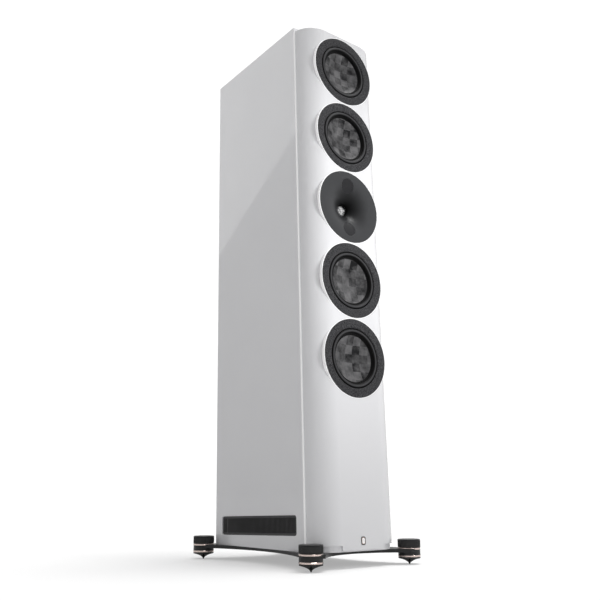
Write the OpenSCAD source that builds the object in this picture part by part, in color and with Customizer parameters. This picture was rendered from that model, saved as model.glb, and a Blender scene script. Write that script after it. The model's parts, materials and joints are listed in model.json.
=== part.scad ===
// Floorstanding loudspeaker: a cabinet that leans back slightly, five round driver pods
// on a baffle with rounded edges, and a four-armed base plate on adjustable spikes.
// Millimetres, +Z up, front towards -Y. Origin on the floor, midway between the four feet.

/* [Cabinet] */
// Width across the side panels
cab_w = 236; // [220:1:250]
// Distance from the face of the pods to the rear of the back panel
cab_d = 400; // [380:1:420]
// Height of the cabinet along its leaning axis
cab_h = 1289.7; // [1275:0.1:1310]
// Backward lean in degrees
rake = 1.68; // [1:0.01:2]
// Shift that centres the cabinet over its feet
cab_shift = -13.7; // [-16:0.1:-10]
// Thickness of the cabinet panels
panel_t = 18; // [15:1:20]
// Thickness of the front baffle
baffle_t = 50; // [48:1:54]
// Radius of the baffle's two vertical edges
corner_r = 60; // [56:1:62]
// How far the baffle stops below the top of the cabinet
baffle_drop = 11.7; // [5:0.1:20]
// Gap between the baffle's rounded edges and the base plate
corner_gap = 12.5; // [8:0.5:20]
// Gap between the middle of the baffle and the base plate
baffle_lift = 2.9; // [0:0.1:5]

/* [Drivers] */
// Height of the lowest driver's centre along the cabinet
first_driver_z = 442.2; // [430:0.1:450]
// Distance between neighbouring driver centres
driver_pitch = 184.47; // [184:0.01:187]
// Outer radius of a driver's flange
flange_r = 90.27; // [88:0.01:90.5]
// Radius of the white pod around each driver
pod_r = 92.2; // [92:0.1:92.4]
// Furthest that a woofer cone moves each way
woofer_travel = 6; // [4:0.5:6]
// Distance of each midrange dome from the tweeter
mid_offset = 56; // [54:0.5:57]

/* [Side vents] */
// Length of each vent grille
vent_l = 294.5; // [280:0.5:300]
// Height of each vent grille
vent_h = 42.3; // [38:0.1:46]
// Number of slots in each grille
vent_slots = 46; // [30:1:50]

/* [Base] */
// Sideways distance from the middle to each foot
foot_x = 139.6; // [138:0.1:142]
// Distance forwards or backwards from the middle to each foot
foot_y = 209; // [205:1:212]
// Height of the top of the base plate above the floor
plate_top = 33.4; // [33:0.1:36]
// Thickness of the base plate
plate_t = 7.4; // [6:0.1:8]
// Radius of the round boss at the end of each arm
boss_r = 24.4; // [23:0.1:26]

/* [Hidden] */
$fn = 96;
big = 2000;

front_y = -cab_d / 2;
back_y = cab_d / 2;
seam_y = front_y + baffle_t;
inner_x = cab_w / 2 - panel_t;
inner_back_y = back_y - panel_t;
inner_d = inner_back_y - seam_y;
corner_x = cab_w / 2 - corner_r;

// Woofers count from the top; the waveguide takes the middle pod.
woofer_z = [for (place = [4, 3, 1, 0]) first_driver_z + place * driver_pitch];
wave_z = first_driver_z + 2 * driver_pitch;

// Woofer sizes, measured in a driver's own frame: z is 0 on the pod's face, + outwards.
recess_d = 8;
trim_t = 2.5;
trim_inner_r = 69.2;
ledge_z = -5.2;
basket_r = 76;
basket_bore_r = 76.5;
cone_r = 58.2;
cone_edge_z = -5.6;
cone_sag = 15;
cone_t = 1.6;
cone_cap_r = (cone_r * cone_r + cone_sag * cone_sag) / (2 * cone_sag);
cone_cap_z = cone_edge_z - cone_sag + cone_cap_r;
coil_in_r = 19;
coil_former_r = 19.3;
coil_out_r = 20.2;
pole_r = 18.6;
gap_r = 20.8;
magnet_r = 45;
roll_r = 5;
roll_t = 0.8;
roll_mid_r = 63.5;
spider_z = -42;
plate_back_z = -62;
plate_front_z = -56;

// Waveguide sizes in the same frame.
horn_edge_r = 86;
horn_depth = 25;
horn_throat_r = 15;
horn_shell_t = 5;
dome_r = 14;
mid_r = 18.5;
mid_back_z = -16;

// Badge, vents, ports and rear panel, along the cabinet.
badge_z = 48.6;
vent_mid_y = 25;
vent_mid_z = 82.5;
vent_corner_r = 6;
shelf_z = 122;
shelf_t = 12;
port_x = 45;
port_y = 20;
port_r = 31;
port_wall = 3;
brace_z = [1088, 700, 534];
brace_hole_r = 75;
chamber_d = 120;
terminal_z = 210;
terminal_cut_w = 120;
terminal_cut_h = 76;
post_x = 30;
post_dz = 20;
stud_r = 4;
socket_r = 2.05;
socket_depth = 20;
stud_tip_y = back_y + 26;
post_y0 = back_y + 8;
board_y = 165;
board_z = 400;

// Feet, above the floor.
boss_z0 = 19.7;
boss_z1 = 31;
ring_t = 4.4;
ring_r = 25;
spike_flare_z = 15;
shaft_r = 6;
shaft_top = 48;
knob_z0 = boss_z1 + ring_t;
knob_top = 52.5;
tip_r = 1.4;
run_gap = 0.05;
bolt_x = 60;
bolt_y = 100;

// Wire routes: round numbers, along the cabinet, from the crossover to each unit.
wire_r = 2.2;
tab_z = 53;
tab_y = front_y + 56;
woofer_wires = [
    for (i = [0, 1, 2]) let (x = 16 * i - 24, z = woofer_z[i] + tab_z) [
        [x, board_y, 452], [x, 150, 452], [x, 125, 462], [x, 95, 500], [x, 75, 560],
        [x, 75, z - 110], [x, 70, z - 50], [x * 0.9, 45, z - 15], [x * 0.7, 0, z],
        [x * 0.4, -60, z], [0, -110, z], [0, tab_y, z]],
    [[24, board_y, 440], [24, 145, 442], [20, 110, 465], [12, 40, 490],
        [4, -40, woofer_z[3] + tab_z], [0, -110, woofer_z[3] + tab_z],
        [0, tab_y, woofer_z[3] + tab_z]]];
wave_wire = [[40, board_y, 452], [40, 150, 452], [40, 125, 462], [40, 95, 500],
    [40, 75, 560], [40, 75, 700], [38, 65, 770], [34, 30, 805], [30, 0, 811],
    [30, seam_y + chamber_d, 811]];
input_wires = [for (sx = [-1, 1]) each [
    [[sx * 30, board_y, 332], [sx * 30, 150, 330], [sx * 30, 135, 310], [sx * 30, 132, 272],
        [sx * 30, 138, 250], [sx * 30, 152, 232], [sx * 30, 160, 230], [sx * 30, 168, 230]],
    [[sx * 46, board_y, 332], [sx * 46, 150, 330], [sx * 44, 134, 305], [sx * 42, 130, 250],
        [sx * 39, 134, 212], [sx * 33, 150, 191], [sx * 30, 160, 190], [sx * 30, 168, 190]]]];

lacquer = [0.92, 0.92, 0.93];
fibreboard = [0.72, 0.6, 0.45];
black = [0.08, 0.08, 0.085];
steel = [0.62, 0.63, 0.65];
cast = [0.3, 0.3, 0.32];
copper = [0.72, 0.42, 0.25];
rose_gold = [0.85, 0.6, 0.52];

// ---- Placing ----

// From the cabinet's own axes to the row's axes.
module leaning() {
    translate([0, cab_shift, 0]) rotate([-rake, 0, 0]) children();
}

// A driver's own frame, with its z axis pointing out of the baffle.
module on_baffle(z, x = 0) {
    leaning() translate([x, front_y, z]) rotate([90, 0, 0]) children();
}

module each_woofer() {
    for (z = woofer_z) on_baffle(z) children();
}

// A frame on the rear of the cabinet whose z axis points backwards.
module on_back(x, z, y = 0) {
    leaning() translate([x, y, z]) rotate([-90, 0, 0]) children();
}

module each_foot() {
    for (sx = [-1, 1]) for (sy = [-1, 1]) at_foot(sx, sy) children();
}

module at_foot(sx, sy) {
    translate([sx * foot_x, sy * foot_y, 0]) children();
}

// Everything below a height above the floor.
module below(z) {
    translate([-big / 2, -big / 2, z - big]) cube([big, big, big]);
}

// ---- Shared shapes ----

module tube(outer_r, inner_r, z0, z1) {
    translate([0, 0, z0]) difference() {
        cylinder(r = outer_r, h = z1 - z0);
        translate([0, 0, -1]) cylinder(r = inner_r, h = z1 - z0 + 2);
    }
}

module rod(r, z0, z1) {
    translate([0, 0, z0]) cylinder(r = r, h = z1 - z0);
}

module rounded_rect(w, h, r) {
    square([w - 2 * r, h], center = true);
    square([w, h - 2 * r], center = true);
    for (sx = [-1, 1]) for (sy = [-1, 1])
        translate([sx * (w / 2 - r), sy * (h / 2 - r)]) circle(r = r);
}

// Extrudes an outline drawn in y and z along +x.
module along_x(length) {
    rotate([90, 0, 90]) linear_extrude(length) children();
}

// Round wire swept along points; the reference direction is never along the wire.
function unit(v) = v / norm(v);
function heading(p, i) = unit(p[min(i + 1, len(p) - 1)] - p[max(i - 1, 0)]);
function wire_ring(p, i, r, sides) =
    let (t = heading(p, i), u = unit(cross(t, [1, 0, 0])), v = cross(t, u))
    [for (k = [0:sides - 1]) p[i] + r * (cos(360 * k / sides) * u + sin(360 * k / sides) * v)];
module wire(p, r, sides = 8) {
    n = len(p);
    polyhedron(
        points = [for (i = [0:n - 1]) each wire_ring(p, i, r, sides)],
        faces = concat(
            [[for (k = [sides - 1:-1:0]) k]],
            [[for (k = [0:sides - 1]) (n - 1) * sides + k]],
            [for (i = [0:n - 2]) for (k = [0:sides - 1]) let (m = (k + 1) % sides)
                [i * sides + k, i * sides + m, (i + 1) * sides + m, (i + 1) * sides + k]]),
        convexity = 4);
}

// ---- Cabinet ----

module vent_outline(clearance = 0) {
    translate([vent_mid_y, vent_mid_z])
        rounded_rect(vent_l - 2 * clearance, vent_h - 2 * clearance, vent_corner_r - clearance);
}

module side_panel(side) {
    x0 = side > 0 ? inner_x : -cab_w / 2;
    color(lacquer) difference() {
        leaning() difference() {
            translate([x0, seam_y, 0]) cube([panel_t, back_y - seam_y, cab_h]);
            translate([x0 - 1, 0, 0]) along_x(panel_t + 2) vent_outline();
        }
        below(plate_top);
    }
}

module side_panel_left() { side_panel(-1); }
module side_panel_right() { side_panel(1); }

module top_panel() {
    color(lacquer) leaning() translate([-inner_x, seam_y, cab_h - panel_t])
        cube([2 * inner_x, back_y - seam_y, panel_t]);
}

module bottom_panel() {
    color(lacquer) difference() {
        intersection() {
            leaning() translate([-inner_x, seam_y, 0]) cube([2 * inner_x, inner_d, cab_d]);
            translate([-inner_x, -cab_d, plate_top]) cube([2 * inner_x, 2 * cab_d, panel_t]);
        }
        each_bolt() rod(4, plate_top - 1, plate_top + 12);
    }
}

module back_panel() {
    color(lacquer) difference() {
        leaning() difference() {
            translate([-inner_x, inner_back_y, 0]) cube([2 * inner_x, panel_t, cab_h - panel_t]);
            translate([-terminal_cut_w / 2, inner_back_y - 1, terminal_z - terminal_cut_h / 2])
                cube([terminal_cut_w, panel_t + 2, terminal_cut_h]);
        }
        below(plate_top);
    }
}

// Flat front, a quarter round on each edge, and flat where it meets the box.
module baffle_outline() {
    intersection() {
        union() {
            translate([-corner_x, front_y]) square([2 * corner_x, baffle_t]);
            for (sx = [-1, 1]) translate([sx * corner_x, front_y + corner_r]) circle(r = corner_r);
        }
        translate([-cab_w / 2, front_y]) square([cab_w, baffle_t]);
    }
}

module driver_cut(bore_r) {
    rod(bore_r, -baffle_t - 1, 1);
    rod(flange_r + 0.2, -recess_d, 1);
}

module front_baffle() {
    color(lacquer) difference() {
        union() {
            leaning() linear_extrude(cab_h - baffle_drop) baffle_outline();
            for (i = [0:4]) on_baffle(first_driver_z + i * driver_pitch) rod(pod_r, -baffle_t, 0);
        }
        each_woofer() driver_cut(basket_bore_r);
        each_woofer() screw_circle() rod(2.2, -28, -recess_d + 1);
        on_baffle(wave_z) driver_cut(horn_edge_r - 3.5);
        below(plate_top + baffle_lift);
        for (sx = [-1, 1]) translate([sx * (corner_x + big / 2), 0, 0])
            translate([-big / 2, -big / 2, 0]) cube([big, big, plate_top + corner_gap]);
    }
}

module internal_braces() {
    color(fibreboard) leaning() {
        for (z = brace_z) difference() {
            translate([-inner_x, seam_y, z]) cube([2 * inner_x, inner_d, 15]);
            translate([0, 25, z - 1]) cylinder(r = brace_hole_r, h = 17);
        }
        difference() {
            translate([-inner_x, seam_y, shelf_z]) cube([2 * inner_x, inner_d, shelf_t]);
            for (sx = [-1, 1]) translate([sx * port_x, port_y, shelf_z - 1])
                cylinder(r = port_r + port_wall, h = shelf_t + 2);
        }
    }
}

// Sealed box behind the waveguide.
module array_chamber() {
    wall = 12;
    height = 184;
    color(fibreboard) leaning() translate([0, seam_y, wave_z - height / 2]) difference() {
        translate([-inner_x, 0, 0]) cube([2 * inner_x, chamber_d, height]);
        translate([-inner_x + wall, -1, wall])
            cube([2 * (inner_x - wall), chamber_d - wall + 1, height - 2 * wall]);
    }
}

module port_ducts() {
    flare = 9;
    top = 280;
    color(black) leaning() for (sx = [-1, 1]) translate([sx * port_x, port_y, 0]) {
        tube(port_r + port_wall, port_r, shelf_z, top);
        translate([0, 0, top]) rotate_extrude() translate([port_r + flare, 0]) intersection() {
            difference() {
                circle(r = flare);
                circle(r = flare - port_wall);
            }
            translate([-flare, 0]) square([flare, flare]);
        }
    }
}

// Flat grille with upright slots, set a little below the panel's surface.
module vent_grille(side) {
    pitch = (vent_l - 10) / vent_slots;
    color(black) leaning() translate([side * (cab_w / 2 - 5) - 3, 0, 0]) along_x(6) difference() {
        vent_outline(0.2);
        for (i = [0:vent_slots - 1])
            translate([vent_mid_y + (i - (vent_slots - 1) / 2) * pitch, vent_mid_z])
                square([pitch * 0.5, vent_h - 10], center = true);
    }
}

module vent_grille_left() { vent_grille(-1); }
module vent_grille_right() { vent_grille(1); }

module front_badge() {
    color(black) on_baffle(badge_z) linear_extrude(1) rounded_rect(12.5, 17, 4);
}

// ---- Rear terminals and crossover ----

module each_post() {
    for (sx = [-1, 1]) for (sz = [-1, 1]) on_back(sx * post_x, terminal_z + sz * post_dz) children();
}

module terminal_plate() {
    color(black) difference() {
        on_back(0, terminal_z, back_y) linear_extrude(4) rounded_rect(150, 104, 8);
        each_post() rod(stud_r, back_y - 1, back_y + 5);
        for (sx = [-1, 1]) for (sz = [-1, 1])
            on_back(sx * 67, terminal_z + sz * 44, back_y) rod(2, -1, 5);
    }
}

module terminal_studs() {
    color(steel) each_post() {
        difference() {
            rod(stud_r, back_y - 32, stud_tip_y);
            rod(socket_r, stud_tip_y - socket_depth, stud_tip_y + 1);
        }
        tube(7, stud_r, back_y + 4, back_y + 7.5);
        tube(7, stud_r, back_y - 6, back_y);
    }
}

// Clamp nut of a terminal, turned by hand.
module binding_post(sx, sz) {
    nut_r = 8.5;
    color(sx > 0 ? [0.6, 0.1, 0.1] : black)
        on_back(sx * post_x, terminal_z + sz * post_dz) difference() {
            rod(nut_r, post_y0, stud_tip_y - 2);
            rod(stud_r + run_gap, post_y0 - 1, stud_tip_y);
            for (a = [0:30:330]) rotate([0, 0, a]) translate([nut_r + 0.9, 0, 0])
                rod(1.6, post_y0 + 2, stud_tip_y);
        }
}

module binding_post_1() { binding_post(-1, 1); }
module binding_post_2() { binding_post(1, 1); }
module binding_post_3() { binding_post(-1, -1); }
module binding_post_4() { binding_post(1, -1); }

module crossover_board() {
    color([0.1, 0.25, 0.16]) leaning() {
        translate([-75, board_y, board_z - 75]) cube([150, 2, 150]);
        for (sx = [-1, 1]) for (sz = [-1, 1])
            translate([sx * 66, board_y + 2, board_z + sz * 66]) rotate([-90, 0, 0])
                cylinder(r = 5, h = inner_back_y - board_y - 2);
    }
}

module crossover_coils() {
    color(copper) for (place = [[-45, 30], [0, 0], [45, -30]])
        on_back(place[0], board_z + place[1], board_y) tube(22, 10, -24, 0);
}

module crossover_capacitors() {
    color([0.75, 0.2, 0.15]) for (place = [[-52, -20], [-30, -38], [2, -40], [32, 18], [56, 22]])
        on_back(place[0], board_z + place[1], board_y) rod(9, -32, 0);
}

module wiring_loom() {
    color(black) leaning() {
        for (route = woofer_wires) wire(route, wire_r);
        wire(wave_wire, wire_r);
        for (route = input_wires) wire(route, wire_r);
    }
}

// ---- Woofers ----

module screw_circle() {
    for (a = [30:60:330]) rotate([0, 0, a]) translate([82, 0, 0]) children();
}

module woofer_baskets() {
    legs = 6;
    color(cast) each_woofer() {
        difference() {
            union() {
                tube(flange_r, 72.3, -recess_d, -trim_t);
                tube(basket_r, 70, -11, ledge_z);
            }
            screw_circle() rod(2.2, -recess_d - 1, 0);
            screw_circle() rod(4, -5.5, 0);
        }
        for (i = [0:legs - 1]) rotate([0, 0, i * 360 / legs]) rotate([90, 0, 0])
            translate([0, 0, -4.5]) linear_extrude(9)
                polygon([[70.5, -9], [75.5, -9], [47, -56], [43.5, -56], [44, -50]]);
        tube(48, 34, -56, -50);
        tube(48, 43.5, -50.5, spider_z);
        translate([-7, 47, -56]) cube([14, 12, 5]);
    }
}

module woofer_screws() {
    color(steel) each_woofer() screw_circle() {
        rod(2.2, -28, -5.5);
        rod(4, -5.5, -3);
    }
}

module woofer_trim_rings() {
    color(cast) each_woofer() tube(flange_r, trim_inner_r, -trim_t, 0);
}

module woofer_top_plates() {
    color(steel) each_woofer() tube(magnet_r, gap_r, plate_back_z, plate_front_z);
}

module woofer_magnets() {
    color(black) each_woofer() tube(magnet_r, 26, -80, plate_back_z);
}

module woofer_yokes() {
    color(steel) each_woofer() difference() {
        union() {
            rod(magnet_r, -88, -80);
            rod(pole_r, -80.5, -55);
        }
        rod(6, -89, -50);
    }
}

// Shallow dish without a dust cap, with a collar behind it for the voice coil.
module woofer_cone(i) {
    color(black) on_baffle(woofer_z[i]) rotate_extrude() {
        intersection() {
            translate([0, cone_cap_z]) difference() {
                circle(r = cone_cap_r + cone_t, $fn = 360);
                circle(r = cone_cap_r, $fn = 360);
            }
            translate([0, cone_edge_z - 2 * cone_sag]) square([cone_r, 2 * cone_sag]);
        }
        polygon([[coil_former_r, -34], [20.8, -34], [20.8, -31.5], [31, -18], [29, -18],
            [coil_former_r, -30]]);
    }
}

module voice_coil(i) {
    color(copper) on_baffle(woofer_z[i]) {
        tube(coil_former_r, coil_in_r, plate_back_z - woofer_travel, -23);
        tube(coil_out_r, coil_former_r, plate_back_z - woofer_travel, plate_front_z + woofer_travel);
    }
}

// Half-round roll between the basket's ledge and the cone's edge.
module woofer_surround(i) {
    color(black) on_baffle(woofer_z[i]) rotate_extrude() {
        intersection() {
            translate([roll_mid_r, ledge_z]) difference() {
                circle(r = roll_r);
                circle(r = roll_r - roll_t);
            }
            translate([0, ledge_z]) square([big, roll_r]);
        }
        translate([roll_mid_r + roll_r - roll_t, ledge_z]) square([3.6 + roll_t, roll_t]);
        translate([roll_mid_r - roll_r - 2.2, ledge_z]) square([2.2 + roll_t, roll_t]);
    }
}

// Corrugated disc that centres the voice coil.
module woofer_spider(i) {
    steps = 48;
    r0 = 19.8;
    r1 = 43;
    rim_r = 46.2;
    waves = 4;
    height = 1.2;
    z_at = [for (s = [0:steps]) spider_z - 0.8 + height * cos(360 * waves * s / steps)];
    r_at = [for (s = [0:steps]) r0 + (r1 - r0) * s / steps];
    color([0.75, 0.62, 0.35]) on_baffle(woofer_z[i]) rotate_extrude() {
        polygon(concat([for (s = [0:steps]) [r_at[s], z_at[s] + 0.4]],
            [[rim_r, spider_z + 0.7], [rim_r, spider_z + 0.1]],
            [for (s = [steps:-1:0]) [r_at[s], z_at[s] - 0.4]]));
    }
}

module woofer_cone_1() { woofer_cone(0); }
module woofer_cone_2() { woofer_cone(1); }
module woofer_cone_3() { woofer_cone(2); }
module woofer_cone_4() { woofer_cone(3); }
module voice_coil_1() { voice_coil(0); }
module voice_coil_2() { voice_coil(1); }
module voice_coil_3() { voice_coil(2); }
module voice_coil_4() { voice_coil(3); }
module woofer_surround_1() { woofer_surround(0); }
module woofer_surround_2() { woofer_surround(1); }
module woofer_surround_3() { woofer_surround(2); }
module woofer_surround_4() { woofer_surround(3); }
module woofer_spider_1() { woofer_spider(0); }
module woofer_spider_2() { woofer_spider(1); }
module woofer_spider_3() { woofer_spider(2); }
module woofer_spider_4() { woofer_spider(3); }

// ---- Waveguide and domes ----

// Horn wall: shallow near the edge, steeper towards the throat.
function horn_z(r) = -horn_depth * pow((horn_edge_r - r) / (horn_edge_r - horn_throat_r), 2.6);
horn_steps = 28;
horn_r = [for (s = [0:horn_steps])
    horn_throat_r + (horn_edge_r - horn_throat_r) * s / horn_steps];

module each_mid() {
    for (side = [-1, 1]) translate([0, side * mid_offset, 0]) children();
}

// Everything behind the horn wall by at least drop, down to bottom.
module behind_horn(drop, bottom) {
    rotate_extrude() polygon(concat([for (r = horn_r) [r, horn_z(r) - drop]],
        [[horn_edge_r, bottom], [horn_throat_r, bottom]]));
}

module waveguide() {
    color(black) on_baffle(wave_z) difference() {
        union() {
            rotate_extrude() polygon(concat(
                [for (r = horn_r) [r, horn_z(r)]],
                [[flange_r, 0], [flange_r, -recess_d], [horn_edge_r - 4, -recess_d]],
                [for (s = [horn_steps - 6:-1:0]) [horn_r[s], horn_z(horn_r[s]) - horn_shell_t]]));
            intersection() {
                behind_horn(1, mid_back_z);
                each_mid() rod(mid_r + 3, mid_back_z, 0);
            }
        }
        each_mid() rod(mid_r, -30, 10);
    }
}

// A dome whose edge lies at z, with a short skirt that carries its voice coil.
module dome(r, rise, z, t, skirt) {
    cap_r = (r * r + rise * rise) / (2 * rise);
    translate([0, 0, z]) {
        rotate_extrude() intersection() {
            translate([0, rise - cap_r]) difference() {
                circle(r = cap_r, $fn = 180);
                circle(r = cap_r - t, $fn = 180);
            }
            square([r, rise + 1]);
        }
        tube(r, r - t, -skirt, t);
    }
}

module tweeter_dome() {
    color(steel) on_baffle(wave_z) dome(dome_r, 4.5, -horn_depth - 3, 0.6, 6);
}

// Diaphragm that carries on the horn's surface, with a straight skirt behind it.
module mid_dome(side) {
    cap_r = mid_r - 0.8;
    skirt_t = 0.7;
    face_t = 1.1;
    sink = 0.5;
    skirt_z = mid_back_z - 2;
    color(cast) on_baffle(wave_z) difference() {
        intersection() {
            behind_horn(sink, skirt_z);
            translate([0, side * mid_offset, 0]) rod(cap_r, skirt_z, 1);
        }
        intersection() {
            behind_horn(sink + face_t, skirt_z - 1);
            translate([0, side * mid_offset, 0]) rod(cap_r - skirt_t, skirt_z - 1, 1);
        }
    }
}

module mid_dome_upper() { mid_dome(1); }
module mid_dome_lower() { mid_dome(-1); }

// Magnet cups behind the three domes, each with a ring gap for the dome's skirt.
module dome_motor(r, gap_mid, front, back) {
    gap_half = 1.3;
    gap_depth = 12;
    difference() {
        rod(r, back, front);
        difference() {
            rod(gap_mid + gap_half, front - gap_depth, front + 1);
            rod(gap_mid - gap_half, front - gap_depth, front + 1);
        }
    }
}

module dome_motors() {
    color(steel) on_baffle(wave_z) {
        dome_motor(24, dome_r - 0.3, -horn_depth - horn_shell_t, -70);
        each_mid() dome_motor(mid_r + 3, mid_r - 1.15, mid_back_z, -48);
    }
}

// ---- Base and feet ----

module each_bolt() {
    for (sx = [-1, 1]) for (sy = [-1, 1]) translate([sx * bolt_x, sy * bolt_y + cab_shift, 0])
        children();
}

// Rounded rectangle through the feet with a hollow curve on each of its four sides.
module plate_outline() {
    front_curve_r = 165;
    side_curve_r = 430;
    waist_x = 107;
    waist_y = 180;
    difference() {
        union() {
            square([2 * foot_x, 2 * (foot_y + boss_r)], center = true);
            square([2 * (foot_x + boss_r), 2 * foot_y], center = true);
            for (sx = [-1, 1]) for (sy = [-1, 1])
                translate([sx * foot_x, sy * foot_y]) circle(r = boss_r);
        }
        for (sy = [-1, 1]) translate([0, sy * (waist_y + front_curve_r)])
            circle(r = front_curve_r, $fn = 360);
        for (sx = [-1, 1]) translate([sx * (waist_x + side_curve_r), 0])
            circle(r = side_curve_r, $fn = 720);
    }
}

module base_plate() {
    color(black) difference() {
        union() {
            translate([0, 0, plate_top - plate_t]) linear_extrude(plate_t) plate_outline();
            each_foot() rod(boss_r, boss_z0, boss_z1);
        }
        each_foot() {
            rod(boss_r + 1.2, boss_z1, plate_top + 1);
            rod(shaft_r + run_gap, boss_z0 - 1, plate_top + 1);
        }
        each_bolt() {
            rod(4, plate_top - plate_t - 1, plate_top + 1);
            rod(7.2, plate_top - plate_t - 1, plate_top - plate_t + 4);
        }
    }
}

module base_bolts() {
    color(steel) each_bolt() {
        rod(4, plate_top - plate_t + 4, plate_top + 12);
        difference() {
            rod(6.5, plate_top - plate_t + 0.2, plate_top - plate_t + 4);
            rod(3, plate_top - plate_t, plate_top - plate_t + 2.5, $fn = 6);
        }
    }
}

module foot_rings() {
    color(rose_gold) each_foot() {
        tube(ring_r, shaft_r + 0.5, boss_z1, boss_z1 + ring_t - 0.3);
        tube(ring_r, shaft_r + 0.5, boss_z0 - ring_t + 0.3, boss_z0);
    }
}

// Hand wheel that turns on the threaded shaft and drives the spike up or down.
module foot_knob(sx, sy) {
    chamfer = 1.2;
    color(black) at_foot(sx, sy) difference() {
        union() {
            rod(ring_r, knob_z0, knob_top - chamfer);
            translate([0, 0, knob_top - chamfer])
                cylinder(r1 = ring_r, r2 = ring_r - chamfer, h = chamfer);
        }
        rod(shaft_r + run_gap, knob_z0 - 1, shaft_top + 1);
    }
}

// Hollow-sided cone with a small flat tip, and the shaft that runs up through the boss.
module foot_spike(sx, sy) {
    steps = 10;
    flare = [for (s = [0:steps]) let (u = s / steps)
        [tip_r + (boss_r - tip_r) * pow(u, 2.2), (spike_flare_z - 2.5) * u]];
    color(black) at_foot(sx, sy) {
        rotate_extrude() polygon(concat(flare,
            [[boss_r, spike_flare_z], [0, spike_flare_z], [0, 0]]));
        rod(shaft_r, spike_flare_z - 1, shaft_top);
    }
}

module foot_knob_1() { foot_knob(-1, -1); }
module foot_knob_2() { foot_knob(1, -1); }
module foot_knob_3() { foot_knob(-1, 1); }
module foot_knob_4() { foot_knob(1, 1); }
module foot_spike_1() { foot_spike(-1, -1); }
module foot_spike_2() { foot_spike(1, -1); }
module foot_spike_3() { foot_spike(-1, 1); }
module foot_spike_4() { foot_spike(1, 1); }

side_panel_left();
side_panel_right();
top_panel();
bottom_panel();
back_panel();
front_baffle();
internal_braces();
array_chamber();
port_ducts();
vent_grille_left();
vent_grille_right();
terminal_plate();
terminal_studs();
crossover_board();
crossover_coils();
crossover_capacitors();
wiring_loom();
base_plate();
base_bolts();
front_badge();
waveguide();
dome_motors();
tweeter_dome();
mid_dome_upper();
mid_dome_lower();
woofer_baskets();
woofer_magnets();
woofer_top_plates();
woofer_yokes();
woofer_trim_rings();
woofer_screws();
foot_rings();
woofer_cone_1();
woofer_cone_2();
woofer_cone_3();
woofer_cone_4();
voice_coil_1();
voice_coil_2();
voice_coil_3();
voice_coil_4();
woofer_surround_1();
woofer_surround_2();
woofer_surround_3();
woofer_surround_4();
woofer_spider_1();
woofer_spider_2();
woofer_spider_3();
woofer_spider_4();
foot_knob_1();
foot_knob_2();
foot_knob_3();
foot_knob_4();
foot_spike_1();
foot_spike_2();
foot_spike_3();
foot_spike_4();
binding_post_1();
binding_post_2();
binding_post_3();
binding_post_4();
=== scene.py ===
import json
import math

import bmesh
import bpy
from mathutils import Matrix, Vector


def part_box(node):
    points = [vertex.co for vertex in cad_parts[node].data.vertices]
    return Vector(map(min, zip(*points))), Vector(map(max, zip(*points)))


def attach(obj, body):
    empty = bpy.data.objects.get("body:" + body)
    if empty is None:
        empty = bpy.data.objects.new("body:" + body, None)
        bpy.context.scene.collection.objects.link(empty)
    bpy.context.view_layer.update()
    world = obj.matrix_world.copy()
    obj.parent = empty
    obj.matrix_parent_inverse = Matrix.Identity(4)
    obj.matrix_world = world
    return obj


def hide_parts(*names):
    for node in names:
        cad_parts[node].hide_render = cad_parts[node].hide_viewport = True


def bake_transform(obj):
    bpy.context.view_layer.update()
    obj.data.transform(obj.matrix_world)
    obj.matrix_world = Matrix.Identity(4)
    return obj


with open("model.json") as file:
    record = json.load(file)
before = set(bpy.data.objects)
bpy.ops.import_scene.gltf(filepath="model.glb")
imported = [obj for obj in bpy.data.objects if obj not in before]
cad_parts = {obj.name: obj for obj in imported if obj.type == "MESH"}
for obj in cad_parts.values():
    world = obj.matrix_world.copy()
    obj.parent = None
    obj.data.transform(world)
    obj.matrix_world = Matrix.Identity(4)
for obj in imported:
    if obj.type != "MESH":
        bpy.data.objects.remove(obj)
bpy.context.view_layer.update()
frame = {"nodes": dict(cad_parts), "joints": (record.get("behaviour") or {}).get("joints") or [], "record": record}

MM = 0.001

# ---- Camera ----

CAMERA_AT = Vector((-1.1142, -1.4321, 0.1518))
CAMERA_AZIMUTH = math.radians(-37.81)
CAMERA_LIFT = math.radians(14.62)
CAMERA_ROLL = math.radians(-0.19)
LENS = 44.48


def make_camera():
    camera = bpy.data.objects.new("camera", bpy.data.cameras.new("camera"))
    camera.data.lens = LENS
    camera.data.sensor_width = 36
    camera.data.clip_start = 0.01
    azimuth = Matrix.Rotation(CAMERA_AZIMUTH, 4, "Z")
    lift = Matrix.Rotation(math.pi / 2 + CAMERA_LIFT, 4, "X")
    roll = Matrix.Rotation(CAMERA_ROLL, 4, "Z")
    camera.matrix_world = Matrix.Translation(CAMERA_AT) @ azimuth @ lift @ roll
    bpy.context.scene.collection.objects.link(camera)
    bpy.context.scene.camera = camera


# ---- The cabinet's leaning axes, read from the frame ----

JOINTS = {joint["name"]: joint for joint in frame["joints"]}
NODES = frame["nodes"]
SLOTS = {entry["node"]: entry["material_slot"] for entry in frame["record"]["subparts"]}
ROOT = "cabinet"
RIGHT = Vector((1, 0, 0))
OUT = Vector(JOINTS["woofer_travel_1"]["axis"]).normalized()
UP = OUT.cross(RIGHT)
AXES = Matrix((RIGHT, UP, OUT)).transposed().to_4x4()
TAU = 2 * math.pi


def span(node, axis):
    """Lowest and highest place of a CAD node along an axis."""
    along = [axis.dot(v.co) for v in NODES[node].data.vertices]
    return min(along), max(along)


def middle(node, axis):
    low, high = span(node, axis)
    return (low + high) / 2


FACE = span("woofer_trim_rings", OUT)[1]


def on_face(node):
    """A driver's own frame: z is 0 on the pod's face and points out of the baffle."""
    at = RIGHT * middle(node, RIGHT) + UP * middle(node, UP) + OUT * FACE
    return Matrix.Translation(at) @ AXES


# ---- Mesh helpers ----

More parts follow.
